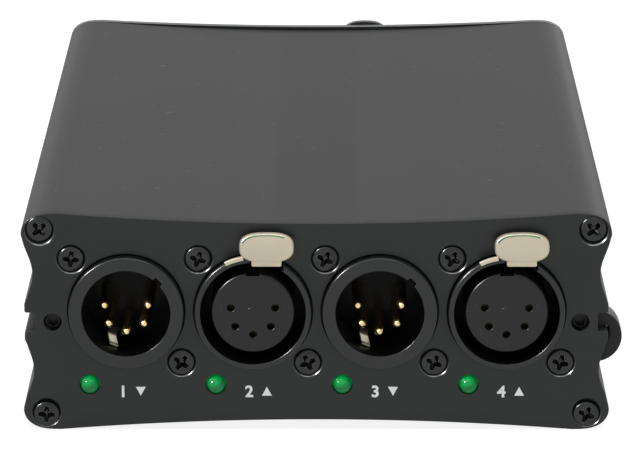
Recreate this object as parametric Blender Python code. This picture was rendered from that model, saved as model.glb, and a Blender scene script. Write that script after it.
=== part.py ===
"""Two-in, two-out stage lighting network node in an extruded aluminium box.

Metres, +Z up. X runs across the front plate, Y from the front plate to the rear one.
The part's origin is the middle of the footprint, on the surface that the box rests on.
"""
import math

import bmesh
import bpy
from mathutils import Matrix, Vector

MM = 0.001

# clearances
seat_gap = 0.3 * MM
slide_gap = 0.35 * MM

# panel connectors
connector_pitch = 22.85 * MM
connector_count = 4
connector_height = 22.4 * MM
connector_screw_x = 9.85 * MM
connector_screw_z = 9.7 * MM
ring_proud = 2.0 * MM
ring_edge = 0.4 * MM
flange_gap = 0.65 * MM
flange_height = 23.2 * MM
flange_thickness = 3.0 * MM
flange_radius = 1.5 * MM
barrel_length = 14.0 * MM
barrel_radius = 10.2 * MM
foot_half = 8.0 * MM
foot_rise = 4.5 * MM

# contacts
contact_circle = 4.1 * MM
contact_count = 5
contact_step = math.radians(360.0 / 7.0)

# male cup
male_ring_radius = 10.4 * MM
male_cup_radius = 8.0 * MM
male_cup_depth = 13.0 * MM
male_pin_radius = 0.95 * MM
male_pin_sink = 2.0 * MM
male_pin_tail = 3.0 * MM
key_width = 1.7 * MM
key_depth = 0.7 * MM
key_angle = math.radians(46.0)
key_length = 5.0 * MM
ground_width = 3.4 * MM
ground_thickness = 0.5 * MM
ground_length = 10.0 * MM
ground_bow = 1.1 * MM
ground_angle = math.radians(-112.0)

# female socket
female_ring_radius = 10.55 * MM
female_bore_radius = 9.5 * MM
female_bore_depth = 15.0 * MM
insert_radius = 7.55 * MM
insert_proud = 1.2 * MM
insert_edge = 0.4 * MM
socket_radius = 0.9 * MM
socket_depth = 9.0 * MM
keyway_width = 2.5 * MM
keyway_depth = 0.9 * MM

# push latches, with heights above the connector's axis
latch_travel = math.radians(8.0)
latch_shift = 2.5 * MM
lever_rise = 1.1 * MM
lever_thickness = 2.8 * MM
lever_end = 11.5 * MM
neck_width = 5.4 * MM
neck_drop = 0.8 * MM
pad_width = 9.8 * MM
pad_height = 5.35 * MM
pad_squareness = 2.7
pad_segments = 24
pad_drop = 0.5 * MM
pad_thickness = 1.8 * MM
pad_proud = 4.2 * MM
pad_edge = 0.4 * MM
hook_length = 2.3 * MM
hook_width = 2.2 * MM
hook_reach = 1.1 * MM
hook_slope = 0.9 * MM
pivot_depth = 5.0 * MM
pivot_radius = 0.6 * MM
cheek_width = 1.5 * MM
cheek_length = 1.0 * MM

# case section
cavity_gap = 0.4 * MM
side_room = 3.2 * MM
wall = 2.2 * MM
side_wall = 4.5 * MM
case_depth = 160.0 * MM
top_sag = 1.85 * MM
corner_radius = 3.8 * MM
land_width = 3.0 * MM
scallop_depth = 2.1 * MM
scallop_height = 9.2 * MM
mid_lobe_depth = 0.4 * MM
mid_lobe_half = 3.3 * MM
mid_lobe_sweep = math.radians(130.0)
cavity_radius = 3.0 * MM
slot_half = 1.75 * MM
slot_lip = 1.9 * MM
slot_lip_round = 0.4 * MM
slot_foot_half = 2.9 * MM
slot_foot_depth = 1.0 * MM
port_wall = 0.4 * MM
boss_wall = 1.2 * MM
guide_rib = 1.2 * MM
guide_reach = 2.0 * MM

# plates
plate_thickness = 2.0 * MM
plate_edge = 0.35 * MM
rear_plate_sag = 1.2 * MM

# screws
top_screw_inset = 3.35 * MM
bottom_screw_inset = 4.1 * MM
corner_screw_drop = 2.9 * MM
screw_head_radius = 2.35 * MM
screw_head_dome = 0.3 * MM
screw_head_rim = 0.15 * MM
screw_shank_radius = 1.2 * MM
corner_screw_length = 9.0 * MM
connector_screw_length = 6.0 * MM
recess_reach = 1.45 * MM
recess_width = 0.62 * MM
recess_depth = 1.1 * MM
set_screw_radius = 1.45 * MM
set_screw_length = 7.0 * MM
set_screw_sink = 1.2 * MM
set_screw_gap = 0.2 * MM
hex_socket = 1.15 * MM
hex_socket_depth = 1.6 * MM

# network socket on the rear
ethernet_x = 10.2 * MM
ethernet_ring_radius = 10.7 * MM
ethernet_bore_radius = 9.6 * MM
ethernet_pad_height = 7.2 * MM
jack_width = 14.2 * MM
jack_height = 12.4 * MM
jack_radius = 1.0 * MM
jack_sink = 1.0 * MM
mouth_width = 11.8 * MM
mouth_height = 6.9 * MM
mouth_depth = 12.0 * MM
mouth_clip_width = 6.0 * MM
mouth_clip_height = 1.7 * MM

# power inlet on the rear
power_x = -28.0 * MM
power_height = 20.3 * MM
power_rim_radius = 5.6 * MM
power_rim_proud = 1.6 * MM
power_rim_edge = 0.4 * MM
power_thread_radius = 4.0 * MM
power_length = 12.0 * MM
power_bore_radius = 2.8 * MM
power_bore_depth = 9.0 * MM
power_pin_radius = 1.0 * MM
power_pin_sink = 2.0 * MM
nut_radius = 6.4 * MM
nut_thickness = 2.2 * MM

# indicator lamps, placed from their connector's axis
lamp_x = -6.75 * MM
lamp_radius = 1.6 * MM
lamp_proud = 1.5 * MM
lamp_length = 5.0 * MM
lamp_rim = 0.35 * MM
lamp_rim_length = 1.0 * MM

# circuit board
board_thickness = 1.6 * MM
board_setback = 4.5 * MM
chip_size = 14.0 * MM
chip_height = 1.4 * MM
chip_y = 92.0 * MM
isolator_width = 16.0 * MM
isolator_length = 10.0 * MM
isolator_height = 6.5 * MM
isolator_y = 50.0 * MM

# slot lug on the right
lug_radius = 4.83 * MM
lug_inset = 2.55 * MM
lug_drop = 3.4 * MM
lug_length = 6.0 * MM

# roundness
ring_segments = 28
screw_segments = 12
pin_segments = 8
small_segments = 12

# worked out from the sizes above
lever_bottom = female_bore_radius + lever_rise
lever_top = lever_bottom + lever_thickness
pivot_height = lever_bottom + lever_thickness / 2
cheek_top = lever_top + slide_gap
hook_bottom = female_bore_radius - hook_reach
window_bottom = hook_bottom - seat_gap
pad_bottom = lever_bottom - pad_drop
flange_half = (connector_pitch - flange_gap) / 2
lamp_z = -(flange_height / 2 + seat_gap + lamp_radius + lamp_rim)
connector_places = [(i - (connector_count - 1) / 2) * connector_pitch for i in range(connector_count)]
cavity_half = connector_places[-1] + flange_half + side_room
cavity_top = connector_height + cheek_top + cavity_gap
case_width = 2 * (cavity_half + side_wall)
case_height = cavity_top + wall + top_sag
mid_height = case_height / 2
extrusion_start = plate_thickness + seat_gap
extrusion_end = case_depth - plate_thickness - seat_gap
ring_seat = plate_thickness + seat_gap
housing_back = ring_seat + flange_thickness + barrel_length
board_top = connector_height - flange_height / 2 - seat_gap
board_front = lamp_length + board_setback
port_radius = set_screw_radius + seat_gap
set_screw_x = case_width / 2 - mid_lobe_depth - slot_lip - slot_foot_depth - port_wall - port_radius
cut_past = 1.0 * MM

MATERIALS = {
    "anodised": ((0.075, 0.075, 0.078), 0.42, 0.7),
    "plate": ((0.028, 0.028, 0.029), 0.45, 0.3),
    "screw": ((0.05, 0.05, 0.052), 0.3, 0.9),
    "nickel": ((0.62, 0.60, 0.56), 0.3, 1.0),
    "gold": ((0.80, 0.58, 0.25), 0.28, 1.0),
    "black_nickel": ((0.04, 0.04, 0.042), 0.32, 0.8),
    "black_plastic": ((0.016, 0.016, 0.017), 0.5, 0.0),
    "bone": ((0.62, 0.58, 0.48), 0.4, 0.3),
    "green_lamp": ((0.02, 0.55, 0.08), 0.25, 0.0),
    "board": ((0.02, 0.14, 0.06), 0.5, 0.0),
}


# clearing and materials
def clear_scene():
    for old in list(bpy.data.objects):
        bpy.data.objects.remove(old, do_unlink=True)


def material(name):
    found = bpy.data.materials.get(name)
    if found:
        return found
    colour, roughness, metallic = MATERIALS[name]
    made = bpy.data.materials.new(name)
    made.use_nodes = True
    shader = made.node_tree.nodes["Principled BSDF"]
    shader.inputs["Base Color"].default_value = (*colour, 1.0)
    shader.inputs["Roughness"].default_value = roughness
    shader.inputs["Metallic"].default_value = metallic
    made.diffuse_color = (*colour, 1.0)
    return made


# solids
def skin(bm, loops):
    """Joins point loops of equal length into one closed tube with capped ends."""
    rings = [[bm.verts.new(p) for p in loop] for loop in loops]
    count = len(rings[0])
    for low, high in zip(rings, rings[1:]):
        for i in range(count):
            j = (i + 1) % count
            bm.faces.new((low[i], low[j], high[j], high[i]))
    bm.faces.new(list(reversed(rings[0])))
    bm.faces.new(rings[-1])


def prism(bm, outline, y0, y1):
    """Closed solid of an (x, z) outline between two depths."""
    skin(bm, [[(x, y, z) for x, z in outline] for y in (y0, y1)])


def block(bm, x0, x1, y0, y1, z0, z1):
    prism(bm, [(x0, z0), (x0, z1), (x1, z1), (x1, z0)], y0, y1)


def turned(bm, profile, segments, x=0.0, z=0.0):
    """Closed solid of a (radius, depth) profile turned about a line along Y."""
    rings = []
    for radius, y in profile:
        if radius <= 0.0:
            rings.append([bm.verts.new((x, y, z))])
            continue
        ring = []
        for i in range(segments):
            a = 2 * math.pi * i / segments
            ring.append(bm.verts.new((x + radius * math.sin(a), y, z + radius * math.cos(a))))
        rings.append(ring)
    for low, high in zip(rings, rings[1:]):
        for i in range(segments):
            j = (i + 1) % segments
            if len(low) == 1:
                bm.faces.new((low[0], high[j], high[i]))
            elif len(high) == 1:
                bm.faces.new((low[i], low[j], high[0]))
            else:
                bm.faces.new((low[i], low[j], high[j], high[i]))
    if len(rings[0]) > 1:
        bm.faces.new(list(reversed(rings[0])))
    if len(rings[-1]) > 1:
        bm.faces.new(rings[-1])


def rounded_box(half_x, z0, z1, radius, steps=4):
    """Outline of a box with round corners, clockwise seen from the front."""
    points = []
    for cx, cz, start in ((half_x - radius, z1 - radius, 90), (half_x - radius, z0 + radius, 0),
                          (radius - half_x, z0 + radius, -90), (radius - half_x, z1 - radius, 180)):
        for i in range(steps + 1):
            a = math.radians(start - 90.0 * i / steps)
            points.append((cx + radius * math.cos(a), cz + radius * math.sin(a)))
    return points


def oval(half_x, z0, z1, squareness, count):
    """Outline between an ellipse and a box, clockwise seen from the front."""
    half_z = (z1 - z0) / 2
    points = []
    for i in range(count):
        a = 2 * math.pi * i / count
        x, z = math.sin(a), math.cos(a)
        points.append((math.copysign(abs(x) ** (2 / squareness), x) * half_x,
                       z0 + half_z + math.copysign(abs(z) ** (2 / squareness), z) * half_z))
    return points


def solid(name, build, finish, parent=None, sharp=35.0):
    """One named object from a function that fills a bmesh."""
    bm = bmesh.new()
    build(bm)
    bmesh.ops.remove_doubles(bm, verts=bm.verts, dist=1e-7)
    bmesh.ops.recalc_face_normals(bm, faces=bm.faces)
    mesh = bpy.data.meshes.new(name)
    bm.to_mesh(mesh)
    bm.free()
    mesh.shade_smooth()
    mesh.set_sharp_from_angle(angle=math.radians(sharp))
    mesh.materials.append(material(finish))
    return placed(name, mesh, parent)


def placed(name, mesh, parent=None, location=(0, 0, 0)):
    made = bpy.data.objects.new(name, mesh)
    bpy.context.collection.objects.link(made)
    made.parent = parent
    made.location = location
    return made


def shape(target, build, operation):
    """Cuts a solid out of an object, or joins one to it."""
    tool = solid(f"{target.name}_{operation.lower()}_{len(target.modifiers)}", build,
                 "black_plastic", target.parent)
    tool.location = target.location
    tool.hide_render = True
    tool.display_type = "WIRE"
    change = target.modifiers.new(operation.title(), "BOOLEAN")
    change.operation = operation
    change.object = tool


def anchor(name, location, turn=0.0, parent=None):
    made = bpy.data.objects.new(name, None)
    bpy.context.collection.objects.link(made)
    made.parent = parent
    made.location = location
    made.rotation_euler = (0, 0, turn)
    return made


# case section
def side_reach(rise):
    """Half width of the case at a height above or below its middle."""
    rise = abs(rise)
    half = case_width / 2
    valley = half - scallop_depth
    if rise >= scallop_height:
        span = case_height / 2 - corner_radius - scallop_height
        t = min(1.0, (rise - scallop_height) / span)
        return valley + scallop_depth * (1 - math.cos(math.pi * t)) / 2
    t = min(1.0, (scallop_height - rise) / (scallop_height - mid_lobe_half))
    rise_share = (1 - math.cos(mid_lobe_sweep * t)) / (1 - math.cos(mid_lobe_sweep))
    return valley + (scallop_depth - mid_lobe_depth) * rise_share


def quarter_outline(slot_reach, foot_half, foot_depth, sag=top_sag):
    """Right upper quarter of the case outline, from the top middle to the slot's floor."""
    half = case_width / 2
    flat = half - corner_radius
    arch = flat - land_width
    points = []
    for i in range(7):
        x = arch * i / 6
        points.append((x, mid_height - sag * (1 - (x / arch) ** 2)))
    for i in range(6):
        a = math.radians(90.0 - 18.0 * i)
        points.append((flat + corner_radius * math.cos(a), mid_height - corner_radius * (1 - math.sin(a))))
    top = mid_height - corner_radius
    for start, end, steps in ((top, scallop_height, 5), (scallop_height, mid_lobe_half, 5)):
        for i in range(1, steps + 1):
            rise = start + (end - start) * i / steps
            points.append((side_reach(rise), rise))
    lobe = side_reach(0)
    points.append((lobe, slot_half + slot_lip_round))
    points.append((lobe - slot_lip_round, slot_half))
    points.append((lobe - slot_reach, slot_half))
    if foot_depth:
        points.append((lobe - slot_reach, foot_half))
        points.append((lobe - slot_reach - foot_depth, foot_half))
    return points


def full_outline(quarter):
    """Mirrors a right upper quarter into the whole outline, about the case's middle."""
    right = quarter + [(x, -z) for x, z in reversed(quarter)]
    left = [(-x, z) for x, z in reversed(right)]
    return [(x, z + mid_height) for x, z in right[:-1] + left[:-1]]


def inset(outline, distance):
    """Moves every point of an outline inwards along its corner's bisector."""
    moved = []
    count = len(outline)
    for i, (x, z) in enumerate(outline):
        before = Vector((x, z)) - Vector(outline[i - 1])
        after = Vector(outline[(i + 1) % count]) - Vector((x, z))
        normal_a = Vector((before.y, -before.x)).normalized()
        normal_b = Vector((after.y, -after.x)).normalized()
        bisector = (normal_a + normal_b).normalized()
        stretch = distance / max(0.5, bisector.dot(normal_a))
        moved.append((x + bisector.x * stretch, z + bisector.y * stretch))
    return moved


def corner_screw_places():
    reach = case_width / 2
    for x, z in ((reach - top_screw_inset, case_height - corner_screw_drop),
                 (reach - bottom_screw_inset, corner_screw_drop)):
        for side in (-1, 1):
            yield side * x, z


def build_case(parent):
    outer = full_outline(quarter_outline(slot_lip, slot_foot_half, slot_foot_depth))

    def body(bm):
        prism(bm, outer, extrusion_start, extrusion_end)

    case = solid("case_extrusion", body, "anodised", parent)
    low = case_height - cavity_top

    def cavity(bm):
        outline = rounded_box(cavity_half, low, cavity_top, cavity_radius)
        prism(bm, outline, 0.0, case_depth)

    def fins(bm):
        boss_half = port_radius + boss_wall
        for side in (-1, 1):
            outside = side * (cavity_half + side_wall / 2)
            rib = side * (cavity_half - guide_reach)
            for z0 in (board_top - board_thickness - slide_gap - guide_rib, board_top + slide_gap):
                block(bm, min(outside, rib), max(outside, rib), extrusion_start, extrusion_end, z0,
                      z0 + guide_rib)
            outside = side * (set_screw_x + port_radius + port_wall / 2)
            boss = side * (connector_places[-1] + flange_half + seat_gap)
            block(bm, min(outside, boss), max(outside, boss), extrusion_start, extrusion_end,
                  mid_height - boss_half, mid_height + boss_half)

    def ports(bm):
        bore = screw_shank_radius + seat_gap
        for x, z in corner_screw_places():
            turned(bm, [(bore, 0.0), (bore, case_depth)], small_segments, x, z)
        for side in (-1, 1):
            turned(bm, [(port_radius, 0.0), (port_radius, extrusion_start + 2 * set_screw_length)],
                   small_segments, side * set_screw_x, mid_height)

    shape(case, cavity, "DIFFERENCE")
    shape(case, fins, "UNION")
    shape(case, ports, "DIFFERENCE")


# screws
def countersink(bm, x, z):
    """Cutter for a countersunk hole that the screw head clears all round."""
    head = screw_head_radius + seat_gap
    hole = screw_shank_radius + seat_gap
    floor = head - hole
    turned(bm, [(head, -cut_past), (head, screw_head_rim), (hole, screw_head_rim + floor),
                (hole, plate_thickness + cut_past)], screw_segments, x, z)


def screw_mesh(length):
    """Raised countersunk screw with a cross recess, its rim flush with the plate."""
    def body(bm):
        radius = screw_head_radius
        neck = screw_head_radius - screw_shank_radius
        turned(bm, [(radius * 0.68, -screw_head_dome), (radius, screw_head_rim),
                    (screw_shank_radius, screw_head_rim + neck), (screw_shank_radius, length)],
               screw_segments)

    def cross(bm):
        reach, half = recess_reach, recess_width / 2
        arm = [(-half, reach), (half, reach), (half, half)]
        plus = []
        for quarter in range(4):
            for x, z in arm:
                for _ in range(quarter):
                    x, z = z, -x
                plus.append((x, z))
        loops = [[(x * size, y, z * size) for x, z in plus]
                 for y, size in ((-cut_past, 1.0), (-screw_head_dome, 1.0), (recess_depth, 0.5))]
        skin(bm, loops)

    screw = solid(f"screw_pattern_{round(length / MM)}", body, "screw")
    shape(screw, cross, "DIFFERENCE")
    bpy.context.view_layer.update()
    graph = bpy.context.evaluated_depsgraph_get()
    mesh = bpy.data.meshes.new_from_object(screw.evaluated_get(graph))
    mesh.name = f"screw_{round(length / MM)}"
    tool = screw.modifiers[0].object
    bpy.data.objects.remove(screw, do_unlink=True)
    bpy.data.objects.remove(tool, do_unlink=True)
    return mesh


def build_screws(parent, rear):
    corner = screw_mesh(corner_screw_length)
    short = screw_mesh(connector_screw_length)
    names = ("top_left", "top_right", "bottom_left", "bottom_right")
    for name, (x, z) in zip(names, corner_screw_places()):
        placed(f"front_screw_{name}", corner, parent, (x, 0, z))
        placed(f"rear_screw_{name}", corner, rear, (x, 0, z))
    for number, x in enumerate(connector_places, 1):
        for name, side in (("upper", -1), ("lower", 1)):
            spot = (x + side * connector_screw_x, 0, connector_height - side * connector_screw_z)
            placed(f"port_{number}_screw_{name}", short, parent, spot)
    for name, side in (("upper", -1), ("lower", 1)):
        spot = (side * connector_screw_x - ethernet_x, 0, connector_height - side * connector_screw_z)
        placed(f"ethernet_screw_{name}", short, rear, spot)


def build_set_screws(parent):
    for name, side in (("left", -1), ("right", 1)):
        def body(bm):
            start = set_screw_sink
            chamfer = set_screw_radius * 0.8
            turned(bm, [(chamfer, start), (set_screw_radius, start + set_screw_radius - chamfer),
                        (set_screw_radius, start + set_screw_length)], small_segments)

        def socket(bm):
            turned(bm, [(hex_socket, -cut_past), (hex_socket, set_screw_sink + hex_socket_depth)], 6)

        made = solid(f"set_screw_{name}", body, "screw", parent)
        made.location = (side * set_screw_x, 0, mid_height)
        shape(made, socket, "DIFFERENCE")


# plates
def plate_body(bm, sag=top_sag):
    outline = full_outline(quarter_outline(slot_lip, 0, 0, sag))
    loops = [(inset(outline, plate_edge), 0.0), (outline, plate_edge), (outline, plate_thickness)]
    skin(bm, [[(x, y, z) for x, z in loop] for loop, y in loops])


def plate_hole(bm, radius, segments, x, z):
    turned(bm, [(radius, -cut_past), (radius, plate_thickness + cut_past)], segments, x, z)


def latch_window(bm, x):
    """Cutter for the lever's way through a plate, open into the ring's hole below it."""
    half = neck_width / 2 + slide_gap
    block(bm, x - half, x + half, -cut_past, plate_thickness + cut_past,
          connector_height + window_bottom, connector_height + cheek_top)


def connector_countersinks(bm, x):
    for side in (-1, 1):
        countersink(bm, x + side * connector_screw_x, connector_height - side * connector_screw_z)


def build_front_plate(parent):
    plate = solid("front_plate", plate_body, "plate", parent)

    def holes(bm):
        for i, x in enumerate(connector_places):
            ring = (male_ring_radius, female_ring_radius)[i % 2]
            plate_hole(bm, ring + seat_gap, ring_segments, x, connector_height)
            plate_hole(bm, lamp_radius + seat_gap, small_segments, x + lamp_x, connector_height + lamp_z)
            connector_countersinks(bm, x)
        for side in (-1, 1):
            plate_hole(bm, set_screw_radius + set_screw_gap, small_segments, side * set_screw_x, mid_height)
        for x, z in corner_screw_places():
            countersink(bm, x, z)

    def windows(bm):
        for x in connector_places[1::2]:
            latch_window(bm, x + latch_shift)

    shape(plate, holes, "DIFFERENCE")
    shape(plate, windows, "DIFFERENCE")


def build_rear_plate(rear):
    def body(bm):
        plate_body(bm, rear_plate_sag)

    plate = solid("rear_plate", body, "plate", rear)

    def holes(bm):
        plate_hole(bm, ethernet_ring_radius + seat_gap, ring_segments, -ethernet_x, connector_height)
        plate_hole(bm, power_thread_radius + seat_gap, small_segments, -power_x, power_height)
        connector_countersinks(bm, -ethernet_x)
        for x, z in corner_screw_places():
            countersink(bm, x, z)

    def window(bm):
        latch_window(bm, -ethernet_x)

    shape(plate, holes, "DIFFERENCE")
    shape(plate, window, "DIFFERENCE")


# connector housings
def flange(bm):
    half = flange_height / 2
    prism(bm, rounded_box(flange_half, -half, half, flange_radius, 2), ring_seat,
          ring_seat + flange_thickness)


def barrel(bm, radius, ring_radius):
    """Ring through the plate, widening or narrowing to the barrel inside the flange."""
    middle = ring_seat + flange_thickness / 2
    turned(bm, [(ring_radius - ring_edge, -ring_proud), (ring_radius, -ring_proud + ring_edge),
                (ring_radius, middle), (radius, middle), (radius, housing_back)], ring_segments)


def barrel_foot(bm):
    """Foot under the barrel that stands on the circuit board."""
    low = -flange_height / 2
    block(bm, -foot_half, foot_half, board_front + seat_gap, housing_back, low, low + foot_rise)


def flange_holes(bm):
    bore = screw_shank_radius + seat_gap
    for side in (-1, 1):
        turned(bm, [(bore, 0.0), (bore, ring_seat + flange_thickness + cut_past)], small_segments,
               side * connector_screw_x, -side * connector_screw_z)


def bored(bm, radius, depth):
    """Cutter for a bore from the ring's rim, eased at the rim."""
    rim = radius + ring_edge
    turned(bm, [(rim, -ring_proud - cut_past), (rim, -ring_proud), (radius, -ring_proud + ring_edge),
                (radius, depth)], ring_segments)


def contact_places():
    """Five contacts on a circle, spaced from the bottom one as sevenths of a turn."""
    for i in range(contact_count):
        a = (i - (contact_count - 1) / 2) * contact_step
        yield contact_circle * math.sin(a), -contact_circle * math.cos(a)


def build_male(prefix, parent):
    housing = solid(f"{prefix}_housing", flange, "black_nickel", parent)

    def outer(bm):
        barrel(bm, barrel_radius, male_ring_radius)

    def cup(bm):
        bored(bm, male_cup_radius, male_cup_depth)

    def key(bm):
        half = key_width / 2
        block(bm, -half, half, -ring_proud - cut_past, -ring_proud + key_length, male_cup_radius * 0.8,
              male_cup_radius + key_depth)
        bmesh.ops.rotate(bm, verts=bm.verts, cent=(0, 0, 0),
                         matrix=Matrix.Rotation(math.pi / 2 - key_angle, 3, "Y"))

    def pin_holes(bm):
        for x, z in contact_places():
            bore = male_pin_radius + seat_gap
            turned(bm, [(bore, male_cup_depth - cut_past), (bore, housing_back + cut_past)],
                   pin_segments, x, z)

    shape(housing, outer, "UNION")
    shape(housing, barrel_foot, "UNION")
    shape(housing, cup, "DIFFERENCE")
    shape(housing, key, "DIFFERENCE")
    shape(housing, pin_holes, "DIFFERENCE")
    shape(housing, flange_holes, "DIFFERENCE")

    tip = -ring_proud + male_pin_sink
    for i, (x, z) in enumerate(contact_places(), 1):
        def pin(bm):
            r = male_pin_radius
            turned(bm, [(r * 0.45, tip), (r * 0.85, tip + r * 0.3), (r, tip + r),
                        (r, housing_back + male_pin_tail)], pin_segments)

        made = solid(f"{prefix}_pin_{i}", pin, "gold", parent)
        made.location = (x, 0, z)

    def spring(bm):
        outer_r = male_cup_radius - seat_gap
        loops = []
        steps = 6
        for i in range(steps + 1):
            t = i / steps
            y = male_cup_depth - seat_gap - ground_length * (1 - t)
            bow = ground_bow * math.sin(math.pi * t)
            high = -outer_r + ground_bow * 0.1 + bow
            half = ground_width / 2
            drop = outer_r - math.sqrt(outer_r ** 2 - half ** 2)
            base = high + drop
            loops.append([(-half, y, base), (-half, y, base + ground_thickness),
                          (half, y, base + ground_thickness), (half, y, base)])
        skin(bm, loops)
        turn = ground_angle + math.pi / 2
        bmesh.ops.rotate(bm, verts=bm.verts, cent=(0, 0, 0), matrix=Matrix.Rotation(-turn, 3, "Y"))

    solid(f"{prefix}_ground_spring", spring, "nickel", parent)


def latch_channel(bm, shift):
    """Two cheeks on top of a housing that carry the latch's pivot pin."""
    half = neck_width / 2 + slide_gap + cheek_width
    block(bm, shift - half, shift + half, ring_seat + seat_gap, lever_end + cheek_length,
          female_bore_radius * 0.6, cheek_top)


def latch_cut(bm, shift):
    """Cutter for the lever's way through the ring, the bore's wall and the cheeks."""
    half = neck_width / 2 + slide_gap
    block(bm, shift - half, shift + half, -ring_proud - cut_past, lever_end + cheek_length + cut_past,
          window_bottom, cheek_top + cut_past)


def across(bm, radius, reach, segments):
    """Cylinder along X, as a pin or as the cutter for its hole."""
    turned(bm, [(radius, -reach), (radius, reach)], segments)
    bmesh.ops.rotate(bm, verts=bm.verts, cent=(0, 0, 0), matrix=Matrix.Rotation(-math.pi / 2, 3, "Z"))


def build_latch(prefix, parent, shift, height, finish):
    """Push latch that rocks on a pin: pad outside, lever through the plate, hook over the bore.
    The lever's back slopes by the latch's travel, so it lies level when the pad is pushed down."""
    pivot = anchor(f"{prefix}_latch_axis", (shift, pivot_depth, pivot_height), 0.0, parent)
    half = neck_width / 2
    front = -pad_proud - pivot_depth
    back = lever_end - pivot_depth
    low = pad_bottom - pivot_height
    under = -lever_thickness / 2

    def pad(bm):
        outline = oval(pad_width / 2, low, low + height, pad_squareness, pad_segments)
        loops = [(inset(outline, pad_edge), front), (outline, front + pad_edge),
                 (outline, front + pad_thickness)]
        skin(bm, [[(x, y, z) for x, z in loop] for loop, y in loops])

    def neck(bm):
        block(bm, -half, half, front + pad_edge, front + pad_thickness, low - neck_drop, low + height / 2)

    def lever(bm):
        start = front + pad_thickness / 2
        side = [(start, under), (start, -under), (0.0, -under), (back, -under - back * math.tan(latch_travel)),
                (back, under)]
        skin(bm, [[(x, y, z) for y, z in side] for x in (-half, half)])

    def hook(bm):
        top = under + lever_thickness / 4
        bottom = hook_bottom - pivot_height
        side = [(back - hook_length, bottom + hook_slope), (back - hook_length, top), (back, top),
                (back, bottom)]
        skin(bm, [[(x, y, z) for y, z in side] for x in (-half * 0.9, hook_width - half * 0.9)])

    def bore(bm):
        across(bm, pivot_radius + seat_gap, neck_width, small_segments)

    latch = solid(f"{prefix}_latch", pad, finish, pivot)
    shape(latch, neck, "UNION")
    shape(latch, lever, "UNION")
    shape(latch, hook, "UNION")
    shape(latch, bore, "DIFFERENCE")

    def pin(bm):
        across(bm, pivot_radius, half + slide_gap + cheek_width, pin_segments)

    solid(f"{prefix}_latch_pin", pin, "nickel", pivot)


def build_socket_housing(prefix, parent, ring_radius, bore_radius, shift):
    """Housing with a ring through the plate, a bore and a channel for the latch."""
    housing = solid(f"{prefix}_housing", flange, "black_nickel", parent)

    def outer(bm):
        barrel(bm, max(barrel_radius, ring_radius - ring_edge), ring_radius)

    def channel(bm):
        latch_channel(bm, shift)

    def bore(bm):
        bored(bm, bore_radius, female_bore_depth)

    def cut(bm):
        latch_cut(bm, shift)

    def pin_bore(bm):
        across(bm, pivot_radius + seat_gap, neck_width + 2 * cheek_width, small_segments)
        bmesh.ops.translate(bm, verts=bm.verts, vec=(shift, pivot_depth, pivot_height))

    shape(housing, outer, "UNION")
    shape(housing, barrel_foot, "UNION")
    shape(housing, channel, "UNION")
    shape(housing, bore, "DIFFERENCE")
    shape(housing, cut, "DIFFERENCE")
    shape(housing, pin_bore, "DIFFERENCE")
    shape(housing, flange_holes, "DIFFERENCE")


def build_female(prefix, parent):
    build_socket_housing(prefix, parent, female_ring_radius, female_bore_radius, latch_shift)

    def insert(bm):
        front = -insert_proud
        turned(bm, [(insert_radius - insert_edge, front), (insert_radius, front + insert_edge),
                    (insert_radius, female_bore_depth - seat_gap)], ring_segments)

    def sockets(bm):
        for x, z in contact_places():
            turned(bm, [(socket_radius, -insert_proud - cut_past), (socket_radius, socket_depth)],
                   pin_segments, x, z)
        block(bm, -keyway_width / 2, keyway_width / 2, -insert_proud - cut_past, socket_depth,
              insert_radius - keyway_depth, insert_radius + cut_past)

    made = solid(f"{prefix}_insert", insert, "black_plastic", parent)
    shape(made, sockets, "DIFFERENCE")
    build_latch(prefix, parent, latch_shift, pad_height, "bone")


# rear connectors
def build_ethernet(parent):
    build_socket_housing("ethernet", parent, ethernet_ring_radius, ethernet_bore_radius, 0.0)
    half = mouth_height / 2

    def jack(bm):
        prism(bm, rounded_box(jack_width / 2, -jack_height / 2, jack_height / 2, jack_radius, 2),
              -ring_proud + jack_sink, female_bore_depth - seat_gap)

    def mouth(bm):
        clip = mouth_clip_width / 2
        wide = mouth_width / 2
        outline = [(-wide, -half), (-wide, half), (wide, half), (wide, -half), (clip, -half),
                   (clip, -half - mouth_clip_height), (-clip, -half - mouth_clip_height), (-clip, -half)]
        prism(bm, outline, -ring_proud - cut_past, mouth_depth)

    made = solid("ethernet_jack", jack, "black_plastic", parent)
    shape(made, mouth, "DIFFERENCE")
    build_latch("ethernet", parent, 0.0, ethernet_pad_height, "black_plastic")


def build_power(rear):
    spot = (-power_x, 0, power_height)
    round_segments = 2 * pin_segments

    def inlet(bm):
        turned(bm, [(power_rim_radius - power_rim_edge, -power_rim_proud),
                    (power_rim_radius, -power_rim_proud + power_rim_edge), (power_rim_radius, -seat_gap),
                    (power_thread_radius, -seat_gap), (power_thread_radius, power_length)],
               round_segments)

    def bore(bm):
        turned(bm, [(power_bore_radius, -power_rim_proud - cut_past), (power_bore_radius, power_bore_depth)],
               round_segments)

    def pin(bm):
        r = power_pin_radius
        tip = -power_rim_proud + power_pin_sink
        turned(bm, [(r / 2, tip), (r, tip + r / 2), (r, power_bore_depth + cut_past)], pin_segments)

    made = solid("power_inlet", inlet, "black_plastic", rear)
    made.location = spot
    shape(made, bore, "DIFFERENCE")
    shape(made, pin, "UNION")

    def nut(bm):
        start = plate_thickness + seat_gap
        turned(bm, [(nut_radius, start), (nut_radius, start + nut_thickness)], 6)

    def nut_bore(bm):
        r = power_thread_radius + seat_gap
        turned(bm, [(r, 0.0), (r, plate_thickness + nut_thickness + cut_past)], round_segments)

    made = solid("power_nut", nut, "nickel", rear)
    made.location = spot
    shape(made, nut_bore, "DIFFERENCE")


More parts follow.
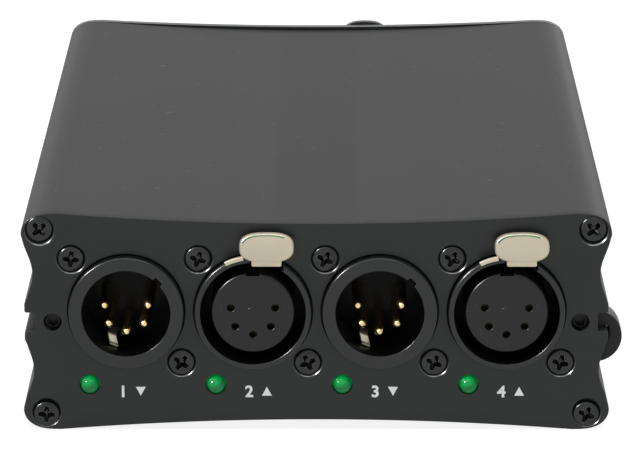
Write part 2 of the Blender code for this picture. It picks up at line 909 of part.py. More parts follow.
# lamps, board and lug
def build_lamps(parent):
    for number, x in enumerate(connector_places, 1):
        def body(bm):
            r = lamp_radius
            arc = []
            for i in range(4):
                a = math.radians(30.0 * i)
                arc.append((r * math.sin(a), -lamp_proud * math.cos(a)))
            rim_end = ring_seat + lamp_rim_length
            turned(bm, arc + [(r, ring_seat), (r + lamp_rim, ring_seat), (r + lamp_rim, rim_end),
                              (r, lamp_length)], small_segments)

        made = solid(f"lamp_{number}", body, "green_lamp", parent)
        made.location = (x + lamp_x, 0, connector_height + lamp_z)


def build_board(parent):
    half = cavity_half - slide_gap

    def board(bm):
        block(bm, -half, half, board_front, case_depth - board_front, board_top - board_thickness,
              board_top)

    def chip(bm):
        block(bm, -chip_size / 2, chip_size / 2, chip_y, chip_y + chip_size, board_top + seat_gap,
              board_top + seat_gap + chip_height)

    solid("main_board", board, "board", parent)
    solid("processor_chip", chip, "black_plastic", parent)
    for name, side in (("left", -1), ("right", 1)):
        def isolator(bm):
            x = side * connector_pitch
            block(bm, x - isolator_width / 2, x + isolator_width / 2, isolator_y,
                  isolator_y + isolator_length, board_top + seat_gap, board_top + seat_gap + isolator_height)

        solid(f"isolator_{name}", isolator, "black_plastic", parent)


def lug_outline():
    """Round lug on the case's side, whose top runs into the slot and ends in a foot there."""
    lobe = side_reach(0)
    neck_x = lobe - slot_lip
    steps = 16
    centre_x = case_width / 2 - lug_inset
    centre_z = mid_height - lug_drop
    end = math.acos((neck_x - seat_gap - centre_x) / lug_radius)
    start = -math.pi / 2
    while (side_reach(centre_z + lug_radius * math.sin(start) - mid_height) + seat_gap
           > centre_x + lug_radius * math.cos(start)):
        start += math.radians(1.0)
    arc = []
    for i in range(steps + 1):
        a = start + (end - start) * i / steps
        arc.append((centre_x + lug_radius * math.cos(a), centre_z + lug_radius * math.sin(a)))
    foot_half = slot_foot_half - seat_gap
    foot_end = neck_x - slot_foot_depth + seat_gap
    high = mid_height - slot_half + seat_gap
    foot = [(neck_x - seat_gap, mid_height + foot_half), (foot_end, mid_height + foot_half),
            (foot_end, mid_height - foot_half), (neck_x - seat_gap, mid_height - foot_half),
            (neck_x - seat_gap, high), (lobe + seat_gap, high)]
    low = arc[0][1]
    back = []
    for i in range(1, 8):
        z = high + (low - high) * i / 8
        back.append((side_reach(z - mid_height) + seat_gap, z))
    return arc + foot + back


def build_lug(parent):
    outline = lug_outline()

    def body(bm):
        start = extrusion_start + seat_gap
        prism(bm, outline, start, start + lug_length)

    solid("slot_lug", body, "black_plastic", parent)


def build_node():
    clear_scene()
    lug_overhang = lug_radius - lug_inset
    base = anchor("node_origin", (-lug_overhang / 2, -case_depth / 2, 0))
    rear = anchor("rear_face", (0, case_depth, 0), math.pi, base)
    build_case(base)
    build_front_plate(base)
    build_rear_plate(rear)
    build_screws(base, rear)
    build_set_screws(base)
    names = ("in_1", "out_1", "in_2", "out_2")
    for name, x in zip(names, connector_places):
        spot = anchor(f"{name}_place", (x, 0, connector_height), 0.0, base)
        if name.startswith("in"):
            build_male(name, spot)
        else:
            build_female(name, spot)
    build_ethernet(anchor("ethernet_place", (-ethernet_x, 0, connector_height), 0.0, rear))
    build_power(rear)
    build_lamps(base)
    build_board(base)
    build_lug(base)


build_node()
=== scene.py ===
"""Looks of a two-in, two-out stage lighting network node in an extruded aluminium box."""
import math

import bmesh
import bpy
from mathutils import Matrix, Vector


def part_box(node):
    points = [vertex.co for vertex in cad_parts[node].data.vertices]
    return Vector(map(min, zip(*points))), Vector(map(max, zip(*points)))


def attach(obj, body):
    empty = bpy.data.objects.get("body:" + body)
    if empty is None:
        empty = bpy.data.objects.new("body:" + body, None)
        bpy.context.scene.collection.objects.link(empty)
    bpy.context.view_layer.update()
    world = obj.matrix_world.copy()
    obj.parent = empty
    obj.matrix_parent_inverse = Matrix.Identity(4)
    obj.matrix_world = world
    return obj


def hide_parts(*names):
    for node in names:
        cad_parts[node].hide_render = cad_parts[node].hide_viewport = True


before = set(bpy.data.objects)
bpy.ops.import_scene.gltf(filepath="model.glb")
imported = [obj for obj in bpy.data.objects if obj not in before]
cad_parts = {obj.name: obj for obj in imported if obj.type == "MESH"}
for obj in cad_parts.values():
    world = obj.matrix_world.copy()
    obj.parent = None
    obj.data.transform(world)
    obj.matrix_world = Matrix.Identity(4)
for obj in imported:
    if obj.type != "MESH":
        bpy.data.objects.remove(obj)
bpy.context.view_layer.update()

# Camera
# The box is seen from the front and a little above, through a long lens. The middle of the front plate
# lies below the middle of the picture.
image_width, image_height = 640, 457
focal_pixels = 4248.6
sensor_width = 36.0
camera_pitch = math.radians(15.34)
camera_yaw = math.radians(0.05)
camera_range = 0.7664
plate_pixel = (316.4, 322.2)
plate_low, plate_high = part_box("front_plate")
plate_middle = (plate_low + plate_high) / 2
plate_middle.y = plate_low.y


def new_object(name, data):
    made = bpy.data.objects.new(name, data)
    bpy.context.scene.collection.objects.link(made)
    return made


turn = Matrix.Rotation(camera_yaw, 3, "Z") @ Matrix.Rotation(math.pi / 2 - camera_pitch, 3, "X")
across = (plate_pixel[0] - image_width / 2) / focal_pixels
above = (image_height / 2 - plate_pixel[1]) / focal_pixels
lens = bpy.data.cameras.new("photo_camera")
lens.sensor_width = sensor_width
lens.lens = focal_pixels / image_width * sensor_width
lens.clip_start = 0.01
lens.clip_end = 50.0
camera = new_object("photo_camera", lens)
camera.rotation_euler = turn.to_euler()
camera.location = plate_middle - camera_range * (turn @ Vector((across, above, -1.0)))
bpy.context.scene.camera = camera

# Floor and light
# A white paper sweep lies under the box and turns up behind it. A broad soft box hangs overhead, cards in
# front and behind fill the plates, a small lamp at the left puts the glints on the rims, and two strips
# behind light the case's rear corners.
sweep_half, sweep_top, sweep_drop = 3.0, 3.0, 0.00005
sweep_front, sweep_turn, sweep_wall = -2.5, 2.4, 3.2
sweep_glow, unseen_level = 0.84, 0.1
bpy.context.scene.view_settings.view_transform = "Standard"


def link(tree, *wires):
    for source, socket, target, name in wires:
        tree.links.new(source.outputs[socket], target.inputs[name])


def set_inputs(node, values):
    for name, value in values.items():
        node.inputs[name].default_value = value


def shader_node(tree, kind, operation=None, constants=None):
    made = tree.nodes.new(f"ShaderNode{kind}")
    if operation:
        made.operation = operation
    set_inputs(made, constants or {})
    return made


def new_material(name, constants):
    """Material, its node tree and its shader."""
    made = bpy.data.materials.new(name)
    made.use_nodes = True
    shader = made.node_tree.nodes["Principled BSDF"]
    set_inputs(shader, constants)
    return made, made.node_tree, shader


def seen_mask(tree):
    """One for rays from the camera, straight, off something glossy or through something clear."""
    rays = shader_node(tree, "LightPath")
    mask, socket = rays, "Is Camera Ray"
    for other in ("Is Transmission Ray", "Is Glossy Ray"):
        either = shader_node(tree, "Math", "MAXIMUM")
        link(tree, (mask, socket, either, 0), (rays, other, either, 1))
        mask, socket = either, 0
    return mask


def angles(start, end, steps):
    """Even angles from a start to an end in degrees."""
    return [math.radians(start + (end - start) * i / steps) for i in range(steps + 1)]


def sweep_profile():
    """Floor and wall behind the box as (y, z) points."""
    radius = sweep_wall - sweep_turn
    yield sweep_front, 0.0
    for a in angles(0.0, 90.0, 8):
        yield sweep_turn + radius * math.sin(a), radius * (1 - math.cos(a))
    yield sweep_wall, sweep_top


sweep_points = [(x, y, z - sweep_drop) for y, z in sweep_profile() for x in (-sweep_half, sweep_half)]
sweep_faces = [(i, i + 1, i + 3, i + 2) for i in range(0, len(sweep_points) - 2, 2)]
sweep_mesh = bpy.data.meshes.new("sweep")
sweep_mesh.from_pydata(sweep_points, [], sweep_faces)
sweep_mesh.shade_smooth()
paper, tree, shader = new_material("white_sweep", {"Base Color": (0.42, 0.42, 0.42, 1.0),
    "Roughness": 0.9, "Specular IOR Level": 0.1, "Emission Color": (1.0, 1.0, 1.0, 1.0)})
glow = shader_node(tree, "Math", "MULTIPLY", {1: sweep_glow})
link(tree, (seen_mask(tree), 0, glow, 0), (glow, 0, shader, "Emission Strength"))
sweep_mesh.materials.append(paper)
floor = new_object("sweep", sweep_mesh)

world = bpy.data.worlds.new("studio")
bpy.context.scene.world = world
world.use_nodes = True
tree = world.node_tree
sky = tree.nodes["Background"]
sky.inputs["Color"].default_value = (1.0, 1.0, 1.0, 1.0)
level = shader_node(tree, "MapRange", None, {"To Min": unseen_level})
link(tree, (seen_mask(tree), 0, level, "Value"), (level, "Result", sky, "Strength"))


def soft_box(name, place, size, power, lights=True, shines=True):
    """Lamp that faces the middle of the box. It lights surfaces, shines in their gloss, or both."""
    data = bpy.data.lights.new(name, "AREA")
    data.shape = "RECTANGLE"
    data.size, data.size_y = size
    data.energy = power
    made = new_object(name, data)
    made.location = place
    aim = Vector((0, 0, 0.02)) - Vector(place)
    made.rotation_euler = aim.to_track_quat("-Z", "Y").to_euler()
    made.visible_camera = False
    made.visible_diffuse = lights
    made.visible_glossy = shines


soft_box("overhead", (0.0, -0.1, 1.3), (1.4, 1.0), 12.0)
soft_box("back_card", (0.0, 1.4, 0.4), (1.4, 0.3), 0.5)
soft_box("front_card", (0.0, -1.6, 0.3), (2.0, 0.4), 6.0, shines=False)
soft_box("left_glint", (-0.95, -0.60, 0.74), (0.24, 0.24), 45.0, lights=False)
soft_box("right_low_card", (0.58, -0.68, 0.10), (0.16, 0.14), 2.0, shines=False)
soft_box("back_left_strip", (-0.45, 1.25, 0.3), (0.3, 0.3), 0.35, lights=False)
soft_box("back_right_strip", (0.45, 1.25, 0.3), (0.3, 0.3), 0.8, lights=False)

# Case extrusion
# One length of black anodised aluminium extrusion with a hollow top and base, two scallops and a bracket
# slot along each side. The die leaves faint lines along it, and its ends are sawn square.
MM = 0.001
JOIN, CUT = "UNION", "DIFFERENCE"


def mm(*values):
    return tuple(value * MM for value in values)


case_low, case_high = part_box("case_extrusion")
case_x = (case_low.x + case_high.x) / 2
case_half = (case_high.x - case_low.x) / 2
case_height = case_high.z - case_low.z
top_sag, corner_radius = mm(1.85, 3.8)
corner_power = 2 / 3
land_width, scallop_depth, scallop_height, lobe_depth, lobe_half = mm(3.0, 2.1, 9.2, 0.4, 3.3)
lobe_sweep = math.radians(130.0)
scallop_ease, slot_half, slot_lip, slot_corner = mm(1.8, 1.75, 1.9, 0.4)
slot_foot_half, slot_foot_depth = mm(2.9, 1.0)
outline_steps, corner_steps = 40, 16
wall, side_wall, hollow_corner, seam, past = mm(2.2, 4.6, 3.0, 0.05, 1.0)


def side_reach(rise):
    """Half width of the case at a height above or below its middle."""
    rise = abs(rise)
    valley = case_half - scallop_depth
    if rise >= scallop_height:
        t = min(1.0, (rise - scallop_height) / (case_height / 2 - corner_radius - scallop_height))
        return valley + scallop_depth * (1 - math.cos(math.pi * t)) / 2
    t = min(1.0, (scallop_height - rise) / (scallop_height - lobe_half))
    share = (1 - math.cos(lobe_sweep * t)) / (1 - math.cos(lobe_sweep))
    return valley + (scallop_depth - lobe_depth) * share


def section_outline(sag, foot):
    """Outline of the case or of a plate as (x, z) points, clockwise seen from the front."""
    middle = case_height / 2
    arch = case_half - corner_radius - land_width
    quarter = []
    for i in range(outline_steps):
        x = arch * i / outline_steps
        quarter.append((x, middle - sag * (1 - (x / arch) ** 2)))
    for a in angles(0.0, 90.0, corner_steps):
        quarter.append((arch + (land_width + corner_radius) * math.sin(a) ** corner_power,
            middle - corner_radius * (1 - math.cos(a))))
    top = middle - corner_radius
    for i in range(1, outline_steps + 1):
        rise = top + (lobe_half - top) * i / outline_steps
        ease = min(scallop_ease, 2 * (top - rise), 2 * (rise - lobe_half))
        reach = sum(side_reach(rise + ease * step) for step in (-1.0, -0.5, 0.0, 0.5, 1.0)) / 5
        quarter.append((reach, rise))
    lobe = side_reach(0)
    for a in angles(18.0, 90.0, 4):
        quarter.append((lobe - slot_corner * (1 - math.cos(a)),
            slot_half + slot_corner * (1 - math.sin(a))))
    quarter.append((lobe - slot_lip, slot_half))
    if foot:
        quarter.append((lobe - slot_lip, slot_foot_half))
        quarter.append((lobe - slot_lip - slot_foot_depth, slot_foot_half))
    right = quarter + [(x, -z) for x, z in reversed(quarter)]
    left = [(-x, z) for x, z in reversed(right)]
    return [(x, z + middle) for x, z in right[:-1] + left[:-1]]


def skin(bm, loops):
    """Joins point loops into one closed solid. A single point closes it in a fan, a loop in a cap."""
    rings = [[bm.verts.new(p) for p in loop] for loop in loops]
    count = max(len(ring) for ring in rings)
    for low, high in zip(rings, rings[1:]):
        for i in range(count):
            j = (i + 1) % count
            corners = [low[i % len(low)], low[j % len(low)], high[j % len(high)], high[i % len(high)]]
            bm.faces.new(list(dict.fromkeys(corners)))
    for ring in (list(reversed(rings[0])), rings[-1]):
        if len(ring) > 1:
            bm.faces.new(ring)


def inset(outline, distance):
    """Moves every point of an outline inwards along its corner's bisector."""
    moved_points = []
    count = len(outline)
    for i, (x, z) in enumerate(outline):
        before = Vector((x, z)) - Vector(outline[i - 1])
        after = Vector(outline[(i + 1) % count]) - Vector((x, z))
        normal_a = Vector((before.y, -before.x)).normalized()
        normal_b = Vector((after.y, -after.x)).normalized()
        bisector = (normal_a + normal_b).normalized()
        stretch = distance / max(0.5, bisector.dot(normal_a))
        moved_points.append((x + bisector.x * stretch, z + bisector.y * stretch))
    return moved_points


def prism(bm, outline, y0, y1, edge=0.0):
    """Closed solid of an (x, z) outline between two depths, its front edge rounded."""
    loops = []
    for a in angles(0.0, 90.0, 3) if edge else ():
        ring = inset(outline, edge * (1 - math.sin(a)))
        loops.append([(x, y0 + edge * (1 - math.cos(a)), z) for x, z in ring])
    if not edge:
        loops.append([(x, y0, z) for x, z in outline])
    loops.append([(x, y1, z) for x, z in outline])
    skin(bm, loops)


def round_box(half_x, z0, z1, radius, steps=6):
    """Outline of a box with round corners, clockwise seen from the front."""
    points = []
    for cx, cz, start in ((half_x - radius, z1 - radius, 90), (half_x - radius, z0 + radius, 0),
            (radius - half_x, z0 + radius, -90), (radius - half_x, z1 - radius, 180)):
        points += [(cx + radius * math.cos(a), cz + radius * math.sin(a))
            for a in angles(start, start - 90.0, steps)]
    return points


def shell(name, build, *values):
    """Mesh of one closed shell from a function that fills a bmesh."""
    bm = bmesh.new()
    build(bm, *values)
    bmesh.ops.remove_doubles(bm, verts=bm.verts, dist=1e-7)
    bmesh.ops.recalc_face_normals(bm, faces=bm.faces)
    mesh = bpy.data.meshes.new(name)
    bm.to_mesh(mesh)
    bm.free()
    return mesh


def applied(made):
    """Plain mesh of an object with its modifiers, whose object is then removed."""
    bpy.context.view_layer.update()
    graph = bpy.context.evaluated_depsgraph_get()
    mesh = bpy.data.meshes.new_from_object(made.evaluated_get(graph))
    bpy.data.objects.remove(made, do_unlink=True)
    return mesh


def carved(name, base, *steps):
    """Closed shell that others are cut from or joined to in order, each a function and its values."""
    made = new_object(name, shell(name, *base))
    tools = []
    for operation, *build in steps:
        tool = new_object(f"{name}_tool", shell(f"{name}_tool", *build))
        change = made.modifiers.new(operation.title(), "BOOLEAN")
        change.operation = operation
        change.object = tool
        tools.append(tool)
    mesh = applied(made)
    for tool in tools:
        bpy.data.objects.remove(tool, do_unlink=True)
    mesh.name = name
    return mesh


front = Matrix.Translation((case_x, plate_low.y, 0))
rear = Matrix.Translation((case_x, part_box("rear_plate")[1].y, 0)) @ Matrix.Rotation(math.pi, 4, "Z")


def dress(name, mesh, finishes, body, *stands_for, place=front, at=(0.0, 0.0), indexes=None, sharp=32.0):
    """Piece of the dressed part: a copy of a mesh, its finishes, its body and what it replaces."""
    mesh = mesh.copy()
    mesh.transform(place @ Matrix.Translation((at[0], 0.0, at[1])))
    mesh.materials.clear()
    for each in finishes:
        mesh.materials.append(each)
    if indexes:
        mesh.polygons.foreach_set("material_index", indexes)
    mesh.shade_smooth()
    mesh.set_sharp_from_angle(angle=math.radians(sharp))
    made = new_object(name, mesh)
    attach(made, body)
    if stands_for:
        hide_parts(*stands_for)


def spot(node, place=front):
    """Middle of a CAD piece as (across, up), seen from the plate that it stands in."""
    low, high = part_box(node)
    middle = place.inverted() @ ((low + high) / 2)
    return middle.x, middle.z


def shader_group(name, inputs, outputs):
    """Empty shader group with named inputs and outputs."""
    tree = bpy.data.node_groups.new(name, "ShaderNodeTree")
    for label, value in inputs.items():
        kind = "Vector" if isinstance(value, tuple) else "Float"
        made = tree.interface.new_socket(label, in_out="INPUT", socket_type=f"NodeSocket{kind}")
        made.default_value = value
    for label in outputs:
        tree.interface.new_socket(label, in_out="OUTPUT", socket_type="NodeSocketFloat")
    return tree, tree.nodes.new("NodeGroupInput"), tree.nodes.new("NodeGroupOutput")


def grain_group():
    """Noise stretched along the piece, slow for patches and fine for grain, and sparse specks."""
    tree, given, result = shader_group("surface_grain", {"Grain Size": 0.0004, "Patch Size": 0.03,
        "Speck Size": 0.0013, "Stretch": (1.0, 1.0, 1.0)}, ("Patches", "Grain", "Specks"))
    place = shader_node(tree, "TexCoord")
    scaled = shader_node(tree, "VectorMath", "MULTIPLY")
    sparse = shader_node(tree, "MapRange", None, {"From Min": 0.80, "From Max": 0.88})
    link(tree, (place, "Object", scaled, 0), (given, "Stretch", scaled, 1))
    noises = (("Grain Size", 3.0, scaled, 0, result, "Grain"),
        ("Patch Size", 3.0, scaled, 0, result, "Patches"),
        ("Speck Size", 0.0, place, "Object", sparse, "Value"))
    for size, detail, source, socket, target, name in noises:
        rate = shader_node(tree, "Math", "DIVIDE", {0: 1.0})
        noise = shader_node(tree, "TexNoise", None, {"Detail": detail})
        link(tree, (given, size, rate, 1), (source, socket, noise, "Vector"), (rate, 0, noise, "Scale"),
            (noise, "Fac", target, name))
    link(tree, (sparse, "Result", result, "Specks"))
    return tree


def rub_group():
    """Mask along the edges of a piece where handling has worn the finish, broken up by noise."""
    tree, given, result = shader_group("edge_rub", {"Width": 0.0003, "Amount": 0.8}, ("Edges",))
    eased = shader_node(tree, "Bevel")
    eased.samples = 4
    flat = shader_node(tree, "NewGeometry")
    dot = shader_node(tree, "VectorMath", "DOT_PRODUCT")
    bend = shader_node(tree, "MapRange", None, {"From Min": 0.995, "From Max": 0.85})
    place = shader_node(tree, "TexCoord")
    noise = shader_node(tree, "TexNoise", None, {"Scale": 260.0, "Detail": 3.0})
    broken = shader_node(tree, "Math", "MULTIPLY")
    scaled = shader_node(tree, "Math", "MULTIPLY")
    link(tree, (given, "Width", eased, "Radius"), (eased, "Normal", dot, 0), (flat, "Normal", dot, 1),
        (dot, "Value", bend, "Value"), (place, "Object", noise, "Vector"), (bend, "Result", broken, 0),
        (noise, "Fac", broken, 1), (broken, 0, scaled, 0), (given, "Amount", scaled, 1),
        (scaled, 0, result, "Edges"))
    return tree


surface_grain = grain_group()
edge_rub = rub_group()
bump_height = 0.1 * MM


def group_node(tree, group, values):
    made = shader_node(tree, "Group")
    made.node_tree = group
    set_inputs(made, values)
    return made


def mixed(tree, factor, socket, first, second):
    """Colour mix whose sides are colours or the colour output of an earlier mix."""
    mix = shader_node(tree, "Mix")
    mix.data_type = "RGBA"
    link(tree, (factor, socket, mix, 0))
    for slot, side in ((6, first), (7, second)):
        if isinstance(side, tuple):
            mix.inputs[slot].default_value = (*side, 1.0)
        else:
            link(tree, (side, 2, mix, slot))
    return mix


def finish(name, dark, light, rough, metallic=0.0, grain=0.0003, patch=0.03, stretch=(1, 1, 1), bump=0.1,
        worn=None, worn_width=0.0002, worn_amount=0.8, specks=None, specular=0.5):
    """Finish with patchy colour and roughness, fine grain, rubbed edges and a few specks."""
    made, tree, shader = new_material(name, {"Metallic": metallic, "Specular IOR Level": specular})
    texture = group_node(tree, surface_grain, {"Grain Size": grain, "Patch Size": patch,
        "Stretch": stretch})
    colour = mixed(tree, texture, "Patches", dark, light)
    if specks:
        colour = mixed(tree, texture, "Specks", colour, specks)
    if worn:
        rub = group_node(tree, edge_rub, {"Width": worn_width, "Amount": worn_amount})
        colour = mixed(tree, rub, "Edges", colour, worn)
    spread = shader_node(tree, "MapRange", None, {"To Min": rough[0], "To Max": rough[1]})
    raised = shader_node(tree, "Bump", None, {"Strength": bump, "Distance": bump_height})
    link(tree, (colour, 2, shader, "Base Color"), (texture, "Patches", spread, "Value"),
        (spread, "Result", shader, "Roughness"), (texture, "Grain", raised, "Height"),
        (raised, "Normal", shader, "Normal"))
    return made


satin_case = finish("satin_anodised", (0.031, 0.031, 0.0315), (0.037, 0.037, 0.0375), (0.50, 0.58),
    grain=0.00035, patch=0.06, stretch=(1.0, 0.04, 1.0), bump=0.12, specular=0.13,
    worn=(0.16, 0.16, 0.165), worn_amount=0.5, specks=(0.09, 0.09, 0.09))
case_back = case_high.y - plate_low.y
case_front = plate_high.y - plate_low.y + seam
case_outline = section_outline(top_sag, True)
hollow_outline = round_box(case_half - side_wall, wall + top_sag, case_height - wall - top_sag,
    hollow_corner)
case_mesh = carved("case_shell", (prism, case_outline, case_front, case_back),
    (CUT, prism, hollow_outline, 0.0, case_back + past))
dress("case_shell", case_mesh, [satin_case], "case", "case_extrusion")

# Front and rear plates
# Two millimetre aluminium plates with the case's outline, blasted and black anodised, so they are darker
# and duller than the case. The edges of the countersinks are rubbed and shine.
rear_sag, male_ring, female_ring, ring_gap = mm(1.2, 10.4, 10.55, 0.3)
rear_ring_hole, lamp_hole, set_screw_hole, power_hole = mm(11.0, 1.9, 1.65, 4.3)
plate_thickness = plate_high.y - plate_low.y
plate_edge, screw_hole, screw_shank, hole_break = mm(0.15, 2.55, 1.5, 0.20)
corner_screw_reach, corner_hole_shift, rim_height, rim_width = mm(45.0, 0.35, 2.5, 5.0)
lever_half = 3.05 * MM
lever_room = mm(8.1, 13.75)
connector_z = spot("in_1_housing")[1]
dull_black = finish("blasted_black", (0.0062, 0.0082, 0.0074), (0.0080, 0.0103, 0.0094), (0.30, 0.38),
    grain=0.00018, patch=0.02, bump=0.12, specular=0.33)
cut_edge = finish("cut_edge", (0.10, 0.10, 0.098), (0.17, 0.17, 0.165), (0.22, 0.32), 0.8, grain=0.0002,
    patch=0.002, bump=0.05)


def circle(radius, y, segments, x=0.0, z=0.0):
    """Points round an axis that runs front to back, or the one point on it."""
    turns = angles(0.0, 360.0, segments)[:-1] if radius else [0.0]
    return [(x + radius * math.sin(a), y, z + radius * math.cos(a)) for a in turns]


def turned(bm, profile, x=0.0, z=0.0, segments=64):
    """Closed solid of (radius, depth) points turned about an axis that runs front to back."""
    skin(bm, [circle(radius, y, segments, x, z) for radius, y in profile])


def rod(radius, y0, y1):
    return [(0.0, y0), (radius, y0), (radius, y1), (0.0, y1)]


def block(bm, x0, x1, y0, y1, z0, z1):
    prism(bm, ((x0, z0), (x0, z1), (x1, z1), (x1, z0)), y0, y1)


def countersinks(bm, centres):
    """Cutters for countersunk holes with broken edges."""
    broken = screw_hole + hole_break
    for x, z in centres:
        turned(bm, [(0.0, -past), (broken, -past), (broken, 0.0), (screw_hole, hole_break),
            (screw_shank, broken - screw_shank), (screw_shank, plate_thickness + past),
            (0.0, plate_thickness + past)], x, z, segments=48)


def round_holes(bm, places):
    for radius, x, z in places:
        turned(bm, rod(radius, -past, plate_thickness + past), x, z)


def lever_windows(bm, place, latches):
    for name in latches:
        x = spot(name, place)[0]
        block(bm, x - lever_half, x + lever_half, -past, plate_thickness + past,
            connector_z + lever_room[0], connector_z + lever_room[1])


def screws_on(side):
    """Names of the countersunk screws on the front, -1, or on the rear, 1."""
    return [name for name in sorted(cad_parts) if "screw" in name and not name.startswith("set")
        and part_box(name)[0].y * side > 0]


def plate(node, place, sag, screws, holes, latches):
    """Plate whose face, rim and countersinks each have their finish."""
    centres = []
    for name in screws:
        x, z = spot(name, place)
        if abs(x) > corner_screw_reach:
            z -= math.copysign(corner_hole_shift, z - case_height / 2)
        centres.append((x, z))
    mesh = carved(f"{node}_dressed", (prism, section_outline(sag, False), 0.0, plate_thickness,
        plate_edge), (CUT, round_holes, holes), (CUT, countersinks, centres),
        (CUT, lever_windows, place, latches))
    indexes = []
    for face in mesh.polygons:
        middle, tilt = face.center, abs(face.normal.y)
        away = min(math.hypot(middle.x - x, middle.z - z) for x, z in centres)
        outer = (abs(middle.z - case_height / 2) > case_height / 2 - rim_height
            or abs(middle.x) > case_half - rim_width)
        if tilt < 0.99 and screw_hole < away < screw_hole + hole_break:
            indexes.append(2)
        else:
            indexes.append(1 if place is front and tilt < 0.7 and outer else 0)
    dress(f"{node}_dressed", mesh, [dull_black, satin_case, cut_edge], "case", node, place=place,
        indexes=indexes)


front_holes = [(ring + ring_gap, spot(f"{name}_housing")[0], connector_z)
    for name, ring in (("in_1", male_ring), ("out_1", female_ring), ("in_2", male_ring),
    ("out_2", female_ring))]
front_holes += [(lamp_hole, *spot(f"lamp_{i}")) for i in range(1, 5)]
front_holes += [(set_screw_hole, *spot(f"set_screw_{side}")) for side in ("left", "right")]
rear_holes = [(rear_ring_hole, spot("ethernet_housing", rear)[0], connector_z),
    (power_hole, *spot("power_inlet", rear))]
plate("front_plate", front, top_sag, screws_on(-1), front_holes, ("out_1_latch", "out_2_latch"))
plate("rear_plate", rear, rear_sag, screws_on(1), rear_holes, ("ethernet_latch",))

# Screws
# Black plated steel, countersunk, with a cross recess pressed into a slightly raised head. Each stands at
# the angle that it was tightened to.
head_radius, head_dome, head_rim, head_edge = mm(2.27, 0.3, 0.12, 0.2)
shank_radius, shank_end, recess_reach, recess_half, screw_bevel = mm(1.2, 5.0, 1.55, 0.36, 0.05)
plated_steel = finish("black_plated_steel", (0.022, 0.0225, 0.023), (0.042, 0.043, 0.043), (0.20, 0.30),
    0.85, patch=0.003, bump=0.08, worn=(0.35, 0.35, 0.36), worn_width=0.00012)


def dome(radius, tip, foot):
    """Half arch from the axis out to a radius, as (radius, depth) points."""
    return [(radius * math.sin(a), foot - (foot - tip) * math.cos(a)) for a in angles(0.0, 90.0, 9)]


def screw_head(bm):
    turned(bm, dome(head_radius, -head_dome, head_rim) + [(head_radius, head_edge),
        (shank_radius, head_edge + head_radius - shank_radius), (shank_radius, shank_end),
        (0.0, shank_end)], segments=48)


def recess(bm):
    """Tapered cross with a deeper middle, pressed by the driver's bit."""
    spoke = [(-recess_half, recess_reach), (recess_half, recess_reach),
        (recess_half * 1.5, recess_half * 1.5)]
    plus = []
    for quarter in range(4):
        for x, z in spoke:
            for _ in range(quarter):
                x, z = z, -x
            plus.append((x, z))
    levels = ((-past, 1.05), (-head_dome, 1.0), (0.3 * MM, 0.86), (1.1 * MM, 0.3))
    skin(bm, [[(x * size, y, z * size) for x, z in plus] for y, size in levels])


def scatter_tree():
    """Puts a piece on every point, turned about its own axis by a different angle each."""
    tree = bpy.data.node_groups.new("set_on_points", "GeometryNodeTree")
    for label, kind in (("Points", "Geometry"), ("Piece", "Object"), ("Turn", "Vector"), ("Seed", "Int"),
            ("Finish", "Material")):
        tree.interface.new_socket(label, in_out="INPUT", socket_type=f"NodeSocket{kind}")
    tree.interface.new_socket("Set pieces", in_out="OUTPUT", socket_type="NodeSocketGeometry")
    given, result, piece, chance, place, real, coat = [tree.nodes.new(kind)
        for kind in ("NodeGroupInput", "NodeGroupOutput", "GeometryNodeObjectInfo",
        "FunctionNodeRandomValue", "GeometryNodeInstanceOnPoints", "GeometryNodeRealizeInstances",
        "GeometryNodeSetMaterial")]
    chance.data_type = "FLOAT_VECTOR"
    link(tree, (given, "Piece", piece, "Object"), (given, "Turn", chance, "Max"),
        (given, "Seed", chance, "Seed"), (given, "Points", place, "Points"),
        (piece, "Geometry", place, "Instance"), (chance, "Value", place, "Rotation"),
        (place, "Instances", real, "Geometry"), (real, "Geometry", coat, "Geometry"),
        (given, "Finish", coat, "Material"), (coat, "Geometry", result, "Set pieces"))
    return tree


set_on_points = scatter_tree()


def scattered(name, piece_mesh, points, seed, material, turn_limit=math.tau):
    """Plain mesh of one piece set on every (across, up) point."""
    cloud = bpy.data.meshes.new(f"{name}_points")
    cloud.from_pydata([Vector((x, 0.0, z)) for x, z in points], [], [])
    carrier = new_object(name, cloud)
    piece = new_object(f"{name}_piece", piece_mesh)
    change = carrier.modifiers.new("Set on points", "NODES")
    change.node_group = set_on_points
    keys = {item.name: item.identifier for item in set_on_points.interface.items_tree}
    for label, value in (("Piece", piece), ("Turn", (0.0, turn_limit, 0.0)), ("Seed", seed),
            ("Finish", material)):
        change[keys[label]] = value
    mesh = applied(carrier)
    bpy.data.objects.remove(piece, do_unlink=True)
    mesh.name = name
    return mesh


def eased_mesh(mesh, width, segments=2):
    """Plain mesh with its sharp edges rounded."""
    made = new_object("to_ease", mesh)
    ease = made.modifiers.new("Eased edges", "BEVEL")
    ease.width = width
    ease.segments = segments
    ease.limit_method = "ANGLE"
    ease.angle_limit = math.radians(30.0)
    return applied(made)


one_screw = eased_mesh(carved("one_screw", (screw_head,), (CUT, recess)), screw_bevel)
one_screw.shade_smooth()
one_screw.set_sharp_from_angle(angle=math.radians(30.0))
for label, place, names, seed in (("front_screws", front, screws_on(-1), 3),
        ("rear_screws", rear, screws_on(1), 8)):
    mesh = scattered(label, one_screw, [spot(name, place) for name in names], seed, plated_steel)
    dress(label, mesh, [plated_steel], "case", *names, place=place)

# Set screws
# Headless steel screws with a hexagon socket, blacked with oxide, sunk in the ports at both sides of the
# front plate.
grub_radius = 1.45 * MM
grub_front, grub_back, grub_edge, hexagon_radius, hexagon_depth = mm(1.2, 8.2, 0.2, 1.15, 2.8)
dark_steel = finish("black_oxide_steel", (0.005, 0.005, 0.005), (0.009, 0.009, 0.009), (0.22, 0.32), 0.2,
    patch=0.002, bump=0.08, specular=0.2)


